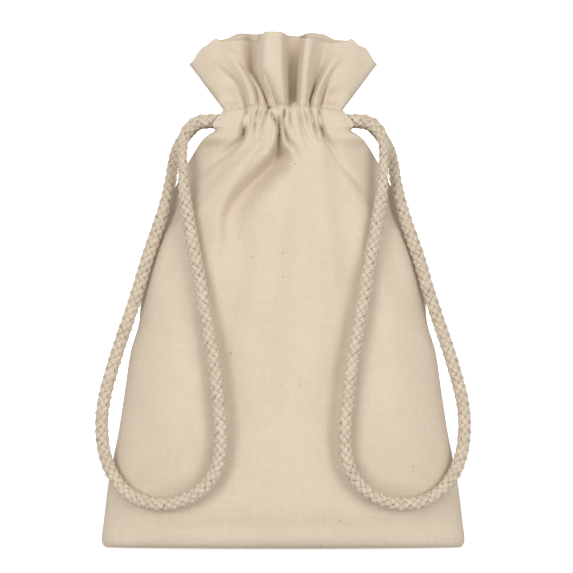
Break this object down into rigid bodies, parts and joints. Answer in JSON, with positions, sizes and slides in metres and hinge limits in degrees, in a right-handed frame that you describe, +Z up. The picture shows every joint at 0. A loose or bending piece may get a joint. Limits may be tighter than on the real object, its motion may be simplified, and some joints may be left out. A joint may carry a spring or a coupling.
{
  "type": "drawstring gift sack",
  "caption": "Cotton pouch with a gathered neck, a flared pleated header and a thick braided drawcord that hangs in a loop at each side.",
  "frame": {"origin": "middle of the flat base, on the surface that the sack stands on", "axes": "+Z up through the mouth, +X to the sack's right as seen from the front, the front faces -Y"},
  "size_m": [0.1442, 0.0544, 0.199],
  "materials": {
    "cotton_cloth": "plain-woven unbleached cotton, matte",
    "cotton_cord": "braided unbleached cotton, matte",
    "cotton_thread": "spun cotton sewing thread, matte"
  },
  "bodies": {
    "sack": {"front_panel": "cotton_cloth", "back_panel": "cotton_cloth", "front_facing": "cotton_cloth", "back_facing": "cotton_cloth", "left_side_seam": "cotton_thread", "right_side_seam": "cotton_thread", "left_header_seam": "cotton_thread", "right_header_seam": "cotton_thread", "bottom_seam": "cotton_thread", "front_upper_stitching": "cotton_thread", "front_lower_stitching": "cotton_thread", "back_upper_stitching": "cotton_thread", "back_lower_stitching": "cotton_thread", "left_opening_tacks": "cotton_thread", "right_opening_tacks": "cotton_thread"},
    "left_cord": {"left_cord_front_run": "cotton_cord", "left_cord_back_run": "cotton_cord", "cord_splice": "cotton_thread"},
    "left_loop": {"left_cord_loop": "cotton_cord"},
    "right_cord": {"right_cord_front_run": "cotton_cord", "right_cord_back_run": "cotton_cord"},
    "right_loop": {"right_cord_loop": "cotton_cord"}
  },
  "joints": [
    {"name": "left_cord_pull", "type": "slide", "parent": "sack", "child": "left_cord", "axis": [-1, 0, 0], "range_m": [0, 0.01]},
    {"name": "left_loop_lift", "type": "hinge", "parent": "left_cord", "child": "left_loop", "pos_m": [-0.0366, 0, 0.1602], "axis": [0, 1, 0], "range_deg": [0, 105]},
    {"name": "right_cord_pull", "type": "slide", "parent": "sack", "child": "right_cord", "axis": [1, 0, 0], "range_m": [0, 0.01]},
    {"name": "right_loop_lift", "type": "hinge", "parent": "right_cord", "child": "right_loop", "pos_m": [0.0366, 0, 0.1602], "axis": [0, -1, 0], "range_deg": [0, 105]}
  ]
}
